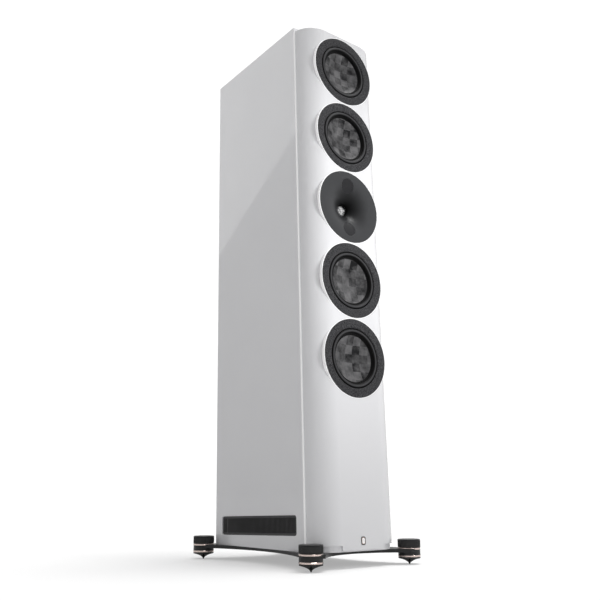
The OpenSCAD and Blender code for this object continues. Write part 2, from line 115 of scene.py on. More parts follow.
def new_piece(name, verts, faces, place=None, sharp=30):
    mesh = bpy.data.meshes.new(name)
    mesh.from_pydata([tuple(v) for v in verts], [], faces)
    if place is not None:
        mesh.transform(place)
    tidy_mesh(mesh, sharp)
    piece = bpy.data.objects.new(name, mesh)
    bpy.context.scene.collection.objects.link(piece)
    return piece


def tidy_mesh(mesh, sharp):
    """Outward faces, smooth shading, and sharp edges above an angle."""
    bm = bmesh.new()
    bm.from_mesh(mesh)
    bmesh.ops.remove_doubles(bm, verts=bm.verts, dist=1e-7)
    bmesh.ops.recalc_face_normals(bm, faces=bm.faces)
    bm.to_mesh(mesh)
    bm.free()
    mesh.shade_smooth()
    mesh.set_sharp_from_angle(angle=math.radians(sharp))


def soften(points, radius, steps=3):
    """Rounds each corner of a closed outline, by less where its sides are short."""
    out = []
    count = len(points)
    for i in range(count):
        a, b, c = (Vector(points[(i + k) % count]) for k in (-1, 0, 1))
        reach = min(radius, (a - b).length * 0.45, (c - b).length * 0.45)
        start = b + (a - b).normalized() * reach
        end = b + (c - b).normalized() * reach
        for s in range(steps + 1):
            t = s / steps
            out.append(tuple(start * (1 - t) ** 2 + b * 2 * t * (1 - t) + end * t * t))
    return out


def lathe(name, profile, place, segments=144, ripple=None, sharp=30):
    """Spins a closed (r, z) outline in millimetres about z. ripple(r, z, turn) gives a new r."""
    verts, rings = [], []
    for r, z in profile:
        if r < 1e-6:
            rings.append([len(verts)])
            verts.append((0, 0, z * MM))
            continue
        rings.append(list(range(len(verts), len(verts) + segments)))
        for k in range(segments):
            turn = TAU * k / segments
            reach = r if ripple is None else ripple(r, z, turn)
            verts.append((reach * math.cos(turn) * MM, reach * math.sin(turn) * MM, z * MM))
    faces = []
    for i in range(len(rings)):
        a, b = rings[i], rings[(i + 1) % len(rings)]
        if len(a) == 1 and len(b) == 1:
            continue
        for k in range(segments):
            m = (k + 1) % segments
            corners = [a[k % len(a)], a[m % len(a)], b[m % len(b)], b[k % len(b)]]
            faces.append(list(dict.fromkeys(corners)))
    return new_piece(name, verts, faces, place, sharp)


def prism(name, outline, low, high, place):
    """A flat outline in millimetres, raised from low to high along z."""
    count = len(outline)
    verts = [(x * MM, y * MM, z * MM) for z in (low, high) for x, y in outline]
    faces = [list(range(count))[::-1], list(range(count, 2 * count))]
    faces += [[k, (k + 1) % count, count + (k + 1) % count, count + k] for k in range(count)]
    return new_piece(name, verts, faces, place)


def arc(cx, cy, r, start, end, steps):
    """Points on a circle, with the angles in degrees."""
    turns = [math.radians(start + (end - start) * s / steps) for s in range(steps + 1)]
    return [(cx + r * math.cos(t), cy + r * math.sin(t)) for t in turns]


def join(name, parts):
    """Makes several pieces one, in the order given."""
    bpy.ops.object.select_all(action="DESELECT")
    for part in parts:
        part.select_set(True)
    bpy.context.view_layer.objects.active = parts[0]
    bpy.ops.object.join()
    parts[0].name = name
    return parts[0]


def boolean(piece, other, operation):
    """Applies an exact boolean with another piece, which is used up."""
    modifier = piece.modifiers.new("boolean", "BOOLEAN")
    modifier.operation = operation
    modifier.object = other
    modifier.solver = "EXACT"
    graph = bpy.context.evaluated_depsgraph_get()
    result = bpy.data.meshes.new_from_object(piece.evaluated_get(graph))
    piece.modifiers.clear()
    piece.data = result
    bpy.data.objects.remove(other)


def bevel(piece, width):
    """Rounds a CAD piece's edges by a width in millimetres."""
    modifier = piece.modifiers.new("bevel", "BEVEL")
    modifier.width = width * MM
    modifier.segments = 2
    modifier.limit_method = "ANGLE"
    modifier.angle_limit = math.radians(35)
    modifier.harden_normals = True


def add_face_map(piece, place):
    """Maps a driver's pieces across its face, one unit to each 100 mm from its axis."""
    back = place.inverted()
    layer = piece.data.uv_layers.new(name="face")
    for loop in piece.data.loops:
        at = back @ piece.data.vertices[loop.vertex_index].co
        layer.data[loop.index].uv = (at.x * 10, at.y * 10)


def finish_piece(piece, material, body, *nodes):
    """Gives a piece its material, body and the CAD nodes that it stands for."""
    piece.data.materials.clear()
    piece.data.materials.append(material)
    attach(piece, body)
    if nodes:
        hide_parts(*nodes)
    return piece


# ---- Materials ----

class Finish:
    """A Principled material with a few short ways to add detail."""

    def __init__(self, name, colour, rough, metal=0.0, coat=0.0, coat_rough=0.03, specular=0.5):
        self.material = bpy.data.materials.new(name)
        self.material.use_nodes = True
        self.tree = self.material.node_tree
        self.shader = self.tree.nodes["Principled BSDF"]
        self.shader.inputs["Base Color"].default_value = (*colour, 1)
        self.shader.inputs["Roughness"].default_value = rough
        self.shader.inputs["Metallic"].default_value = metal
        self.shader.inputs["Coat Weight"].default_value = coat
        self.shader.inputs["Coat Roughness"].default_value = coat_rough
        self.shader.inputs["Specular IOR Level"].default_value = specular
        self.bump = None

    def node(self, kind, **values):
        made = self.tree.nodes.new(kind)
        for key, value in values.items():
            setattr(made, key, value)
        return made

    def link(self, a, b):
        self.tree.links.new(a, b)

    def place(self):
        return self.node("ShaderNodeTexCoord").outputs["Object"]

    def noise(self, scale, detail=3.0, rough=0.5, stretch=None):
        texture = self.node("ShaderNodeTexNoise")
        texture.inputs["Scale"].default_value = scale
        texture.inputs["Detail"].default_value = detail
        texture.inputs["Roughness"].default_value = rough
        vector = self.place()
        if stretch:
            mapping = self.node("ShaderNodeMapping")
            mapping.inputs["Scale"].default_value = stretch
            self.link(vector, mapping.inputs["Vector"])
            vector = mapping.outputs["Vector"]
        self.link(vector, texture.inputs["Vector"])
        return texture.outputs["Fac"]

    def ranged(self, value, low, high, from_low=0.0, from_high=1.0):
        mapped = self.node("ShaderNodeMapRange")
        ends = {"From Min": from_low, "From Max": from_high, "To Min": low, "To Max": high}
        for key, number in ends.items():
            mapped.inputs[key].default_value = number
        self.link(value, mapped.inputs["Value"])
        return mapped.outputs["Result"]

    def math(self, operation, a, b=None, c=None):
        made = self.node("ShaderNodeMath", operation=operation)
        for slot, value in zip(made.inputs, (a, b, c)):
            if value is None:
                continue
            if isinstance(value, (int, float)):
                slot.default_value = value
            else:
                self.link(value, slot)
        return made.outputs["Value"]

    def face_distance(self, x=0.0, y=0.0):
        """Distance across a driver's face from a point on it, in units of 100 mm."""
        distance = self.node("ShaderNodeVectorMath", operation="DISTANCE")
        self.link(self.node("ShaderNodeUVMap", uv_map="face").outputs["UV"], distance.inputs[0])
        distance.inputs[1].default_value = (x, y, 0)
        return distance.outputs["Value"]

    def rough_by(self, value, low, high):
        self.link(self.ranged(value, low, high), self.shader.inputs["Roughness"])

    def colour_by(self, value, low, high, from_low=0.35, from_high=0.65):
        ramp = self.node("ShaderNodeMix", data_type="RGBA")
        self.link(self.ranged(value, 0, 1, from_low, from_high), ramp.inputs["Factor"])
        ramp.inputs[6].default_value = (*low, 1)
        ramp.inputs[7].default_value = (*high, 1)
        self.link(ramp.outputs[2], self.shader.inputs["Base Color"])

    def bump_by(self, height, distance, strength=1.0):
        """Adds a bump of a real height in millimetres on top of any before it."""
        bump = self.node("ShaderNodeBump")
        bump.inputs["Distance"].default_value = distance * MM
        bump.inputs["Strength"].default_value = strength
        self.link(height, bump.inputs["Height"])
        if self.bump:
            self.link(self.bump.outputs["Normal"], bump.inputs["Normal"])
        self.link(bump.outputs["Normal"], self.shader.inputs["Normal"])
        self.bump = bump


# Fibres in a tow, the place of a surround's crest from its axis in units of 100 mm, where a highlight is painted,
# and the glow of the white edges, a painted highlight.
FIBRES = 46
PAINTED_HIGHLIGHT_CREST = 0.634
PAINTED_HIGHLIGHT_GLOW = 0.16


def shade(base, factor):
    return tuple(c * factor for c in base)


def white_lacquer():
    f = Finish("white_lacquer", (0.83, 0.83, 0.845), 0.32, coat=1.0, coat_rough=0.035, specular=0.3)
    f.colour_by(f.noise(3.5, 4), (0.82, 0.82, 0.838), (0.84, 0.84, 0.856))
    f.rough_by(f.noise(40, 5), 0.28, 0.36)
    f.bump_by(f.noise(110, 2), 0.003)
    return f.material


def carbon_weave():
    """Wide flat tows, crossed one over one, under clear lacquer. u and v count tows across the face."""
    f = Finish("carbon_weave", (0.05, 0.052, 0.057), 0.4, coat=0.2, coat_rough=0.25, specular=0.2)
    tows = f.node("ShaderNodeVectorMath", operation="MULTIPLY_ADD")
    f.link(f.node("ShaderNodeUVMap", uv_map="face").outputs["UV"], tows.inputs[0])
    tows.inputs[1].default_value = (100 / TILE, 100 / TILE, 0)
    tows.inputs[2].default_value = (0.67, 0.4, 0)
    parts = f.node("ShaderNodeSeparateXYZ")
    f.link(tows.outputs["Vector"], parts.inputs["Vector"])
    u, v = parts.outputs["X"], parts.outputs["Y"]
    over = f.math("FLOORED_MODULO", f.math("ADD", f.math("FLOOR", u), f.math("FLOOR", v)), 2.0)
    across = f.node("ShaderNodeMix")
    f.link(over, across.inputs["Factor"])
    f.link(v, across.inputs[2])
    f.link(u, across.inputs[3])
    along = f.node("ShaderNodeMix")
    f.link(over, along.inputs["Factor"])
    f.link(u, along.inputs[2])
    f.link(v, along.inputs[3])
    crown = f.math("SINE", f.math("MULTIPLY", f.math("FRACT", across.outputs[0]), math.pi))
    dip = f.math("SINE", f.math("MULTIPLY", f.math("FRACT", along.outputs[0]), math.pi))
    fibre = f.math("SINE", f.math("MULTIPLY", across.outputs[0], FIBRES * TAU))
    square = f.node("ShaderNodeVectorMath", operation="FLOOR")
    f.link(tows.outputs["Vector"], square.inputs[0])
    chance = f.node("ShaderNodeTexWhiteNoise", noise_dimensions="2D")
    f.link(square.outputs["Vector"], chance.inputs["Vector"])
    cloud = f.noise(48, 3, 0.6)
    tone = f.math("MULTIPLY_ADD", over, 0.13, f.math("MULTIPLY", chance.outputs["Value"], 0.26))
    tone = f.math("MULTIPLY_ADD", cloud, 1.0, tone)
    f.colour_by(tone, (0.003, 0.003, 0.004), (0.17, 0.168, 0.172), 0.44, 0.98)
    f.rough_by(over, 0.36, 0.48)
    f.bump_by(f.math("POWER", crown, 0.3), 0.3)
    f.bump_by(f.math("POWER", dip, 0.4), 0.25)
    f.bump_by(fibre, 0.012)
    return f.material


def waveguide_black():
    """Satin black with painted shade: darker and less reflective towards the throat."""
    f = Finish("waveguide_black", (0.02, 0.02, 0.022), 0.36)
    near = f.face_distance(0.07, 0.05)
    wide = f.math("MULTIPLY_ADD", f.noise(14, 2), 0.3, near)
    # Painted shade: the colour goes near black, and the reflection weaker, towards the throat.
    f.colour_by(wide, (0.001, 0.001, 0.001), (0.036, 0.037, 0.04), 0.26, 0.78)
    f.link(f.ranged(wide, 0.02, 0.5, 0.22, 0.7), f.shader.inputs["Specular IOR Level"])
    f.rough_by(f.noise(60, 4), 0.32, 0.4)
    f.bump_by(f.noise(2200, 3, 0.6), 0.005)
    return f.material


def surround_rubber():
    """Soft rubber, with a painted highlight, grey, along the crest of its roll, and painted shade, near black, in
    the grooves beside it.
    """
    f = Finish("surround_rubber", (0.006, 0.006, 0.006), 0.5, specular=0.2)
    line = f.math("ABSOLUTE", f.math("SUBTRACT", f.face_distance(), PAINTED_HIGHLIGHT_CREST))
    # Painted highlight: a grey band at the crest's radius; painted shade: near black on either side of it.
    f.colour_by(line, (0.055, 0.055, 0.058), (0.0012, 0.0012, 0.0014), 0.014, 0.027)
    f.rough_by(f.noise(60, 4), 0.44, 0.56)
    f.bump_by(f.noise(1800, 3, 0.6), 0.01)
    return f.material


def trim_grey():
    """Painted ring with a coarse speckle."""
    f = Finish("trim_grey", (0.045, 0.045, 0.048), 0.6, specular=0.12)
    speckle = f.math("MULTIPLY_ADD", f.noise(430, 2, 0.7), 0.7, f.math("MULTIPLY", f.noise(1300, 2), 0.3))
    f.colour_by(speckle, (0.01, 0.01, 0.011), (0.095, 0.095, 0.1), 0.38, 0.64)
    f.rough_by(f.noise(60, 4), 0.55, 0.65)
    f.bump_by(speckle, 0.05)
    return f.material


def grained(name, colour, rough, grain_scale, grain_mm, metal=0.0, coat=0.0):
    """A moulded or painted finish with a fine grain."""
    f = Finish(name, colour, rough, metal, coat)
    f.colour_by(f.noise(9, 5), shade(colour, 0.85), shade(colour, 1.15))
    f.rough_by(f.noise(60, 4), rough * 0.88, min(rough * 1.12, 1))
    f.bump_by(f.noise(grain_scale, 3, 0.6), grain_mm)
    return f.material


def painted_highlight_white():
    """Polished white edge, lit a little from within to read as a catch light: a painted highlight."""
    f = Finish("painted_highlight_white", (0.95, 0.95, 0.955), 0.3, specular=0.5)
    f.colour_by(f.noise(9, 4), (0.93, 0.93, 0.935), (0.96, 0.96, 0.965))
    f.rough_by(f.noise(60, 4), 0.26, 0.34)
    f.bump_by(f.noise(900, 3), 0.002)
    # Painted highlight: the finish glows a little from within, as a catch light on the white edges.
    f.shader.inputs["Emission Color"].default_value = (1, 1, 1, 1)
    f.shader.inputs["Emission Strength"].default_value = PAINTED_HIGHLIGHT_GLOW
    return f.material


def turned_metal(name, colour, rough, groove_mm=0.004):
    """Polished metal with faint lathe marks that run round the part's upright axis."""
    f = Finish(name, colour, rough, metal=1.0)
    f.colour_by(f.noise(30, 3), shade(colour, 0.94), colour)
    f.rough_by(f.noise(160, 4), rough * 0.7, rough * 1.4)
    f.bump_by(f.noise(1.0, 2, stretch=(60, 60, 9000)), groove_mm)
    return f.material


def bright_dome():
    """Hard metal foil with shallow dimples."""
    f = Finish("bright_dome", (0.55, 0.55, 0.56), 0.2, metal=1.0)
    f.colour_by(f.noise(220, 3), (0.25, 0.25, 0.26), (1.0, 1.0, 1.0), 0.38, 0.6)
    f.rough_by(f.noise(160, 4), 0.1, 0.2)
    f.bump_by(f.noise(230, 1), 1.1)
    return f.material


def wood_board():
    f = Finish("bare_board", (0.5, 0.36, 0.22), 0.8)
    f.colour_by(f.noise(500, 6, 0.7), (0.42, 0.3, 0.18), (0.56, 0.42, 0.27))
    f.bump_by(f.noise(900, 4), 0.05)
    return f.material


def make_finishes():
    return {
        "white_lacquer": white_lacquer(),
        "painted_highlight_white": painted_highlight_white(),
        "fibreboard": wood_board(),
        "black_plastic": grained("black_plastic", (0.03, 0.03, 0.032), 0.45, 1500, 0.02),
        "grille_black": grained("grille_black", (0.055, 0.055, 0.057), 0.5, 2500, 0.02),
        "waveguide_black": waveguide_black(),
        "base_black": grained("base_black", (0.006, 0.006, 0.007), 0.3, 3000, 0.01),
        "knob_black": grained("knob_black", (0.012, 0.012, 0.013), 0.3, 2500, 0.006),
        "rose_gold": turned_metal("rose_gold", (1.0, 0.85, 0.79), 0.08, 0.001),
        "carbon_weave": carbon_weave(),
        "surround_rubber": surround_rubber(),
        "spider_cloth": grained("spider_cloth", (0.55, 0.42, 0.2), 0.85, 2600, 0.08),
        "trim_grey": trim_grey(),
        "cast_grey": grained("cast_grey", (0.16, 0.16, 0.17), 0.55, 1600, 0.04, metal=0.6),
        "bright_steel": turned_metal("bright_steel", (0.7, 0.7, 0.71), 0.22),
        "ferrite": grained("ferrite", (0.05, 0.05, 0.052), 0.7, 2200, 0.03),
        "copper_wire": turned_metal("copper_wire", (0.75, 0.36, 0.2), 0.3),
        "bright_dome": bright_dome(),
        "dark_dome": grained("dark_dome", (0.008, 0.008, 0.010), 0.42, 2500, 0.004),
        "board_green": grained("board_green", (0.03, 0.12, 0.06), 0.4, 1200, 0.02),
        "capacitor_film": grained("capacitor_film", (0.5, 0.1, 0.06), 0.3, 900, 0.01),
        "cable_sheath": grained("cable_sheath", (0.03, 0.03, 0.032), 0.55, 1500, 0.01),
        "post_black": grained("post_black", (0.025, 0.025, 0.027), 0.25, 1500, 0.006, coat=0.3),
        "post_red": grained("post_red", (0.45, 0.03, 0.03), 0.25, 1500, 0.006, coat=0.3),
        "port_cloth": grained("port_cloth", (0.012, 0.012, 0.013), 0.8, 1500, 0.05),
        "spike_black": grained("spike_black", (0.008, 0.008, 0.009), 0.16, 2500, 0.002),
    }


# ---- Lacquered cabinet ----

BACK = -OUT
PLAN = Matrix((RIGHT, BACK, UP)).transposed().to_4x4()
BAFFLE_DEPTH = 50
CORNER_R = 60
POD_R = 92.2
POD_EDGE_R = 1.4
BORE_R = 90.45
FLANGE_DEPTH = 8
BASKET_R = 76.5
CORNER_GAP = 12.5
BAFFLE_LIFT = 2.9
EDGE_R = 1.5
POD_RIM = 7
PLINTH_INSET = 4
WIDE = 0.3
DRIVERS = ["woofer_surround_1", "woofer_surround_2", "waveguide", "woofer_surround_3", "woofer_surround_4"]


def baffle_outline(inset):
    """Plan of the baffle, left to right round its front, drawn in by an inset."""
    front = -FACE / MM
    flat = span("side_panel_right", RIGHT)[1] / MM - CORNER_R
    reach = CORNER_R - inset
    rise = math.degrees(math.asin((CORNER_R - BAFFLE_DEPTH) / reach))
    centre_y = front + CORNER_R
    return (arc(-flat, centre_y, reach, 180 + rise, 270, 44)
            + arc(flat, centre_y, reach, 270, 360 - rise, 44))


def loft(name, rows, place):
    """Joins closed outlines of equal length at rising heights: rows are (outline, z)."""
    count = len(rows[0][0])
    verts = [(x * MM, y * MM, z * MM) for outline, z in rows for x, y in outline]
    last = (len(rows) - 1) * count
    faces = [list(range(count))[::-1], list(range(last, last + count))]
    for i in range(len(rows) - 1):
        for k in range(count):
            m = (k + 1) % count
            faces.append([i * count + k, i * count + m, (i + 1) * count + m, (i + 1) * count + k])
    return new_piece(name, verts, faces, place)


def floor_block(x0, x1, top):
    """A cutter that stands below a height, square to the floor."""
    reach = 0.5
    corners = ((x0, -reach), (x1, -reach), (x1, reach), (x0, reach))
    verts = [(x, y, z) for z in (-0.1, top) for x, y in corners]
    faces = [[3, 2, 1, 0], [4, 5, 6, 7], [0, 1, 5, 4], [1, 2, 6, 5], [2, 3, 7, 6], [3, 0, 4, 7]]
    return new_piece("cutter", verts, faces)


def front_baffle(finishes):
    """Flat front with rounded edges and a round pod standing out of it around each driver."""
    top = span("front_baffle", UP)[1] / MM
    turns = [math.pi / 2 * s / 4 for s in range(5)]
    rows = [(baffle_outline(0), 0)]
    rows += [(baffle_outline(EDGE_R * (1 - math.cos(t))), top - EDGE_R * (1 - math.sin(t))) for t in turns]
    shell = loft("front_baffle_lacquer", rows, PLAN)
    edge = arc(POD_R - POD_EDGE_R, -POD_EDGE_R, POD_EDGE_R, 0, 90, 5)
    depth = -BAFFLE_DEPTH + 5
    for node in DRIVERS:
        pod = lathe("pod", [(0, depth), (POD_R, depth)] + edge + [(0, 0)], on_face(node), 180)
        boolean(shell, pod, "UNION")
    bore = [(0, -80), (BASKET_R, -80), (BASKET_R, -FLANGE_DEPTH), (BORE_R, -FLANGE_DEPTH),
            (BORE_R, 20), (0, 20)]
    for node in DRIVERS:
        boolean(shell, lathe("cutter", bore, on_face(node), 180), "DIFFERENCE")
    plate_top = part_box("base_plate")[1].z
    flat = span("side_panel_right", RIGHT)[1] - CORNER_R * MM
    boolean(shell, floor_block(-WIDE, WIDE, plate_top + BAFFLE_LIFT * MM), "DIFFERENCE")
    for x0, x1 in ((-WIDE, -flat), (flat, WIDE)):
        boolean(shell, floor_block(x0, x1, plate_top + CORNER_GAP * MM), "DIFFERENCE")
    tidy_mesh(shell.data, 30)
    shell.modifiers.new("weighted", "WEIGHTED_NORMAL").keep_sharp = True
    finish_piece(shell, finishes["white_lacquer"], ROOT, "front_baffle")


def pod_rims(finishes):
    """The polished edge of each pod, bright from the glowing white finish: a painted highlight."""
    edge = arc(POD_R - POD_EDGE_R, -POD_EDGE_R, POD_EDGE_R + 0.2, 0, 90, 6)
    for number, node in enumerate(DRIVERS, 1):
        profile = [(BORE_R + 0.1, -POD_RIM), (POD_R + 0.2, -POD_RIM)] + edge + [(BORE_R + 0.1, 0.2)]
        rim = lathe(f"pod_rim_{number}", profile, on_face(node), 180)
        finish_piece(rim, finishes["painted_highlight_white"], ROOT)


def baffle_plinth(finishes):
    """A strip set back under the rounded corners, down to the base plate."""
    plate_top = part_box("base_plate")[1].z
    outline = baffle_outline(PLINTH_INSET)
    strip = loft("baffle_plinth", [(outline, 0), (outline, 80)], PLAN)
    boolean(strip, floor_block(-WIDE, WIDE, plate_top + (CORNER_GAP + 1) * MM), "INTERSECT")
    boolean(strip, floor_block(-WIDE, WIDE, plate_top), "DIFFERENCE")
    tidy_mesh(strip.data, 30)
    finish_piece(strip, finishes["white_lacquer"], ROOT)


# ---- Woofers ----

TRIM = [(69.2, -2.5), (90.27, -2.5), (90.27, 0), (71.2, 0), (69.2, -1.6)]
DISH_R = 54.5
RIM_R = 58.2
RIM_Z = -5.6
DISH_SAG = 15
SHEET = 1.4
TILE = 20
ROLL_R = 5
ROLL_MID = 63.5
ROLL_Z = -5.2
ROLL_SHEET = 0.8
LIP_IN = 56.3
LIP_OUT = 72.1
SPIDER_Z = -42.8
SPIDER_IN = 19.8
SPIDER_OUT = 43
SPIDER_RIM = 46.2
SPIDER_HALF = 0.4
WAVES = 4
WAVE_HEIGHT = 1.2


def dish_z(r):
    cap = (RIM_R ** 2 + DISH_SAG ** 2) / (2 * DISH_SAG)
    return RIM_Z - DISH_SAG + cap - math.sqrt(cap ** 2 - r ** 2)


def radial_blend(piece, place, r_out, r_in):
    """Bakes the piece's placement into its mesh; each vertex's share between the cabinet at r_out and the moving
    body at r_in, both in millimetres, is worked out but not used.
    """
    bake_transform(piece)
    back = place.inverted()
    for v in piece.data.vertices:
        at = back @ v.co
        share = (r_out - math.hypot(at.x, at.y) / MM) / (r_out - r_in)
        share = min(max(share, 0), 1)


def woofer_cone(number, place, finishes):
    """The woven dish, its black edge and the collar that joins it to the voice coil."""
    body = f"woofer_{number}"
    steps = 28
    front = [(DISH_R * s / steps, dish_z(DISH_R * s / steps)) for s in range(steps + 1)]
    dish = lathe(f"cone_dish_{number}", front + [(r, z - SHEET) for r, z in front[::-1]], place, 180)
    add_face_map(dish, place @ Matrix.Translation((3 * TILE * MM * number, 0, 0)))
    finish_piece(dish, finishes["carbon_weave"], body, f"woofer_cone_{number}")
    rim = [(DISH_R - 0.6, dish_z(DISH_R) + 0.5), (DISH_R + 0.9, dish_z(DISH_R) + 0.6), (RIM_R, RIM_Z),
           (RIM_R, RIM_Z - 1.8), (DISH_R - 0.6, dish_z(DISH_R) - 1.6)]
    edge = lathe(f"cone_edge_{number}", soften(rim, 0.5), place, 180)
    add_face_map(edge, place)
    finish_piece(edge, finishes["surround_rubber"], body)
    neck = [(19.3, -34), (20.8, -34), (20.8, -31.5), (31, -18.3), (28.6, -18.3), (19.3, -30)]
    collar = lathe(f"cone_neck_{number}", soften(neck, 0.4), place, 96)
    finish_piece(collar, finishes["black_plastic"], body)


def woofer_surround(number, place, finishes):
    """A half roll with a flat lip on each side."""
    top = arc(ROLL_MID, ROLL_Z, ROLL_R, 9.2, 170.8, 22)
    under = arc(ROLL_MID, ROLL_Z, ROLL_R - ROLL_SHEET, 180, 0, 22)
    lip = ROLL_Z + ROLL_SHEET
    roll = [(LIP_OUT, ROLL_Z), (LIP_OUT, lip)] + top + [(LIP_IN, lip), (LIP_IN, ROLL_Z)] + under
    surround = lathe(f"surround_roll_{number}", roll, place, 180, sharp=60)
    add_face_map(surround, place)
    surround.data.materials.append(finishes["surround_rubber"])
    radial_blend(surround, place, ROLL_MID + ROLL_R - 0.3, ROLL_MID - ROLL_R + 0.3)
    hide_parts(f"woofer_surround_{number}")


def woofer_spider(number, place, finishes):
    """Corrugated cloth between the basket and the voice coil."""
    shares = [s / 72 for s in range(73)]
    waves = [(SPIDER_IN + (SPIDER_OUT - SPIDER_IN) * t, SPIDER_Z + WAVE_HEIGHT * math.cos(TAU * WAVES * t))
             for t in shares]
    sheet = [(r, z + SPIDER_HALF) for r, z in waves]
    sheet += [(SPIDER_RIM, SPIDER_Z + 1.4), (SPIDER_RIM, SPIDER_Z + 0.9)]
    sheet += [(r, z - SPIDER_HALF) for r, z in waves[::-1]]
    spider = lathe(f"spider_cloth_{number}", sheet, place, 96, sharp=80)
    spider.data.materials.append(finishes["spider_cloth"])
    radial_blend(spider, place, 42, 21)
    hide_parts(f"woofer_spider_{number}")


def woofer(number, finishes):
    place = on_face(f"woofer_surround_{number}")
    woofer_cone(number, place, finishes)
    woofer_surround(number, place, finishes)
    woofer_spider(number, place, finishes)


def trim_rings(finishes):
    rings = [lathe(f"trim_ring_{i}", soften(TRIM, 0.4), on_face(f"woofer_surround_{i}"), 180)
             for i in (1, 2, 3, 4)]
    finish_piece(join("woofer_trim", rings), finishes["trim_grey"], ROOT, "woofer_trim_rings")


# ---- Waveguide and domes ----

HORN_R = 90.27
HORN_ROUND = 1.07
HORN_WALL = 5
HORN_EDGE = 86
HORN_DEPTH = 25
THROAT_R = 15
HORN_POWER = 2.6
MID_R = 18.5


def horn_z(r):
    return -HORN_DEPTH * ((HORN_EDGE - r) / (HORN_EDGE - THROAT_R)) ** HORN_POWER


def waveguide(finishes):
    place = on_face("waveguide")
    steps = 48
    radii = [THROAT_R + (HORN_EDGE - THROAT_R) * s / steps for s in range(steps + 1)]
    front = [(r, horn_z(r)) for r in radii]
    rim = arc(HORN_R - HORN_ROUND, -HORN_ROUND, HORN_ROUND, 90, 0, 4)
    wall = [(HORN_R, -FLANGE_DEPTH), (82, -FLANGE_DEPTH)]
    wall += [(r, z - HORN_WALL) for r, z in front[::-1] if r < 78]
    horn = lathe("waveguide_horn", front + rim + wall, place, 180)
    add_face_map(horn, place)
    for side in (1, -1):
        at = place @ Matrix.Translation((0, side * mid_offset(side) * MM, 0))
        hole = lathe("cutter", [(0, -40), (MID_R, -40), (MID_R, 20), (0, 20)], at, 96)
        boolean(horn, hole, "DIFFERENCE")
    tidy_mesh(horn.data, 30)
    horn.modifiers.new("weighted", "WEIGHTED_NORMAL").keep_sharp = True
    finish_piece(horn, finishes["waveguide_black"], ROOT, "waveguide")


def mid_offset(side):
    node = "mid_dome_upper" if side > 0 else "mid_dome_lower"
    return abs(middle(node, UP) - middle("waveguide", UP)) / MM


def tweeter(finishes):
    """A bright dome with a narrow half-roll at its edge and a short skirt behind it."""
    place = on_face("tweeter_dome")
    radius, rise, z, roll = 13.2, 5.0, -28, 0.8
    cap = (radius ** 2 + rise ** 2) / (2 * rise)
    steps = 18
    face = [(radius * s / steps, z + rise - cap + math.sqrt(cap ** 2 - (radius * s / steps) ** 2))
            for s in range(steps + 1)]
    back = [(max(r - 0.4, 0), h - 0.5) for r, h in face[::-1]]
    skirt = [(radius, z - 6), (radius - 0.6, z - 6)]
    piece = lathe("tweeter_cap", face + skirt + back, place, 96, sharp=50)
    finish_piece(piece, finishes["bright_dome"], "tweeter", "tweeter_dome")
    edge = arc(radius + roll, z - 0.3, roll, 170, 10, 8)
    edge += [(radius + 2 * roll, z - 0.8), (radius + 0.05, z - 0.8)]
    rolled = lathe("tweeter_edge", edge, place, 96, sharp=50)
    add_face_map(rolled, place)
    finish_piece(rolled, finishes["surround_rubber"], ROOT)


def horn_disc(name, place, offset, rings, thickness):
    """A round sheet, off the driver's axis, that follows the horn's surface: rings are (radius, sink)."""
    count = 96
    verts, loops = [], []
    for under in (0, thickness):
        for r, sink in rings:
            loops.append(list(range(len(verts), len(verts) + count)))
            for k in range(count):
                x, y = r * math.cos(TAU * k / count), offset + r * math.sin(TAU * k / count)
                verts.append((x * MM, y * MM, (horn_z(math.hypot(x, y)) - sink - under) * MM))
    half = len(rings)
    order = list(range(half)) + list(range(2 * half - 1, half - 1, -1))
    faces = []
    if rings[0][0] < 0.1:
        faces += [loops[0], loops[half][::-1]]
    else:
        order.append(0)
    for a, b in zip(order, order[1:]):
        faces += [[loops[a][k], loops[a][(k + 1) % count], loops[b][(k + 1) % count], loops[b][k]]
                  for k in range(count)]
    piece = new_piece(name, verts, faces, place, 50)
    add_face_map(piece, place)
    return piece


def midrange(side, word, finishes):
    """Diaphragm that carries on the horn's surface, with its skirt and a soft edge round it."""
    place = on_face("waveguide")
    offset = side * mid_offset(side)
    radius = MID_R - 0.8
    rings = [(0.05 + (radius - 0.2) * s / 12, 0.45) for s in range(13)] + [(radius, 0.6)]
    sheet = horn_disc("sheet", place, offset, rings, 0.9)
    tube = [(radius - 0.7, -17.5), (radius, -17.5), (radius, -9.5), (radius - 0.7, -9.5)]
    skirt = lathe("skirt", tube, place @ Matrix.Translation((0, offset * MM, 0)), 96)
    finish_piece(join(f"mid_cap_{word}", [sheet, skirt]), finishes["dark_dome"], f"midrange_{word}",
                 f"mid_dome_{word}")
    soft = [(radius + 0.06, 0.6), (MID_R - 0.4, 0.25), (MID_R - 0.02, 0.1)]
    edge = horn_disc(f"mid_edge_{word}", place, offset, soft, 1.2)
    finish_piece(edge, finishes["waveguide_black"], ROOT)


# ---- Vents ----

FIN_PITCH = 4.6
FIN_T = 1.7
FRAME_W = 5
FRAME_BEVEL = 0.6
VENT_CORNER = 6
VENT_DEPTH = 6


def rounded_outline(width, height, radius, cx=0, cy=0):
    x, y = width / 2 - radius, height / 2 - radius
    return [p for sx, sy, start in ((1, 1, 0), (-1, 1, 90), (-1, -1, 180), (1, -1, 270))
            for p in arc(cx + sx * x, cy + sy * y, radius, start, start + 90, 8)]


